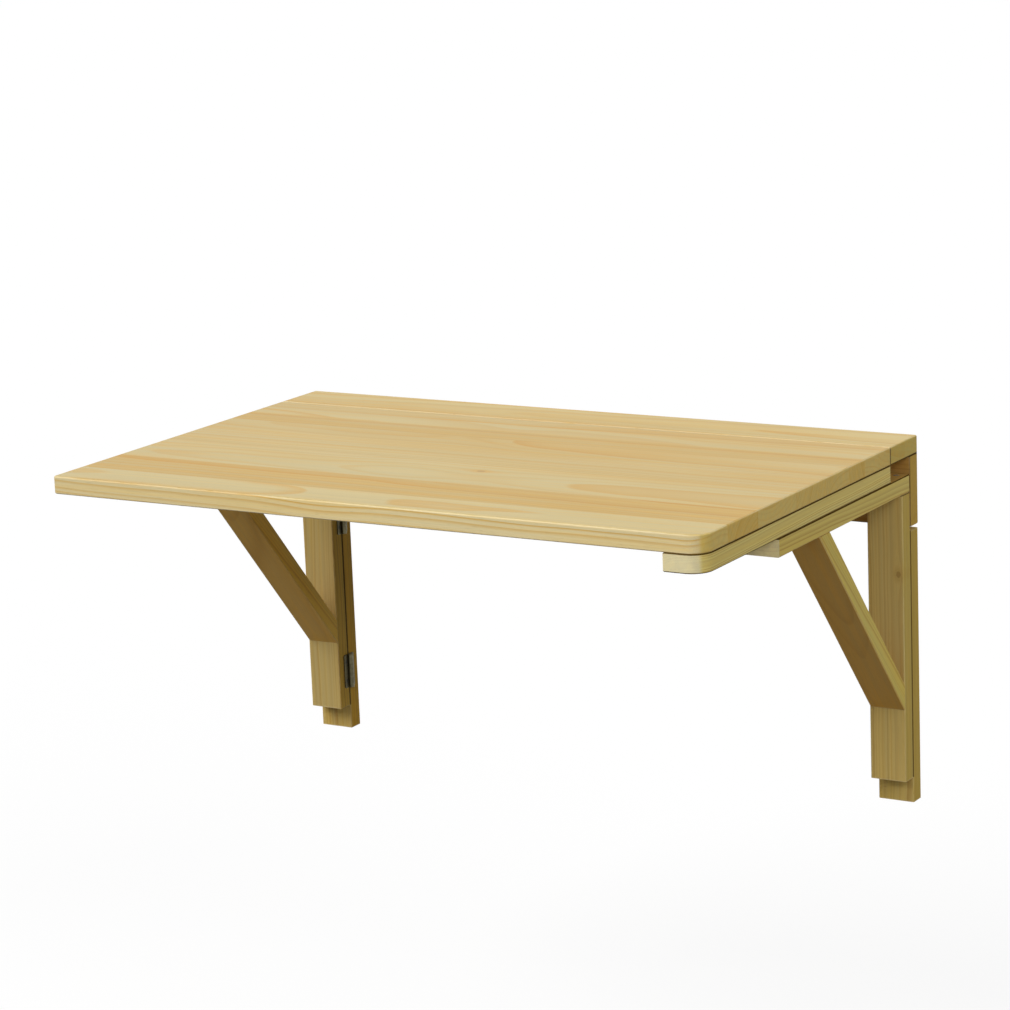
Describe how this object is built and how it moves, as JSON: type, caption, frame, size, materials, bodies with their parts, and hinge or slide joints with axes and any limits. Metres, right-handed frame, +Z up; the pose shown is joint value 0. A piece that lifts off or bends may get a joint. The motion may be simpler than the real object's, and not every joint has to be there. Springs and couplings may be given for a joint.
{
  "type": "wall mounted drop leaf table",
  "caption": "Rectangular pine table leaf hinged to a strip on a wall rail and carried by folding triangular brackets on wall uprights.",
  "frame": {"origin": "centre of the wall rail's back face, in the plane of the wall", "axes": "+X along the table's width to its right as seen from the room, +Y into the wall, +Z up"},
  "size_m": [0.8, 0.52, 0.42],
  "materials": {
    "panel_pine": "edge-glued pine staves under clear satin varnish",
    "frame_pine": "planed pine under clear satin varnish",
    "beech": "plain beech dowel",
    "hinge_steel": "dark grey-green passivated steel",
    "screw_steel": "zinc plated steel"
  },
  "bodies": {
    "wall_frame": {"fixed_strip": "panel_pine", "leaf_hinge_left_pin": "hinge_steel", "leaf_hinge_left_strip_plate": "hinge_steel", "leaf_hinge_right_pin": "hinge_steel", "leaf_hinge_right_strip_plate": "hinge_steel", "lower_hinge_left_pin": "hinge_steel", "lower_hinge_left_wall_plate": "hinge_steel", "lower_hinge_right_pin": "hinge_steel", "lower_hinge_right_wall_plate": "hinge_steel", "strip_dowels": "beech", "strip_hinge_screws": "screw_steel", "upper_hinge_left_pin": "hinge_steel", "upper_hinge_left_wall_plate": "hinge_steel", "upper_hinge_right_pin": "hinge_steel", "upper_hinge_right_wall_plate": "hinge_steel", "upright_hinge_screws_left": "screw_steel", "upright_hinge_screws_right": "screw_steel", "upright_left": "frame_pine", "upright_right": "frame_pine", "wall_rail": "frame_pine"},
    "leaf": {"batten_left": "frame_pine", "batten_right": "frame_pine", "batten_screws_left": "screw_steel", "batten_screws_right": "screw_steel", "leaf_board": "panel_pine", "leaf_hinge_left_leaf_plate": "hinge_steel", "leaf_hinge_right_leaf_plate": "hinge_steel", "leaf_hinge_screws": "screw_steel"},
    "bracket_left": {"arm_left": "frame_pine", "brace_left": "frame_pine", "bracket_screws_left": "screw_steel", "lower_hinge_left_post_plate": "hinge_steel", "post_hinge_screws_left": "screw_steel", "post_left": "frame_pine", "upper_hinge_left_post_plate": "hinge_steel"},
    "bracket_right": {"arm_right": "frame_pine", "brace_right": "frame_pine", "bracket_screws_right": "screw_steel", "lower_hinge_right_post_plate": "hinge_steel", "post_hinge_screws_right": "screw_steel", "post_right": "frame_pine", "upper_hinge_right_post_plate": "hinge_steel"}
  },
  "joints": [
    {"name": "leaf_hinge", "type": "hinge", "parent": "wall_frame", "child": "leaf", "pos_m": [0, -0.0715, 0.03645], "axis": [1, 0, 0], "range_deg": [-2.4, 0]},
    {"name": "bracket_left_swing", "type": "hinge", "parent": "wall_frame", "child": "bracket_left", "pos_m": [-0.35345, -0.0205, -0.2], "axis": [0, 0, 1], "range_deg": [0, 90]},
    {"name": "bracket_right_swing", "type": "hinge", "parent": "wall_frame", "child": "bracket_right", "pos_m": [0.35345, -0.0205, -0.2], "axis": [0, 0, -1], "range_deg": [0, 90]}
  ]
}
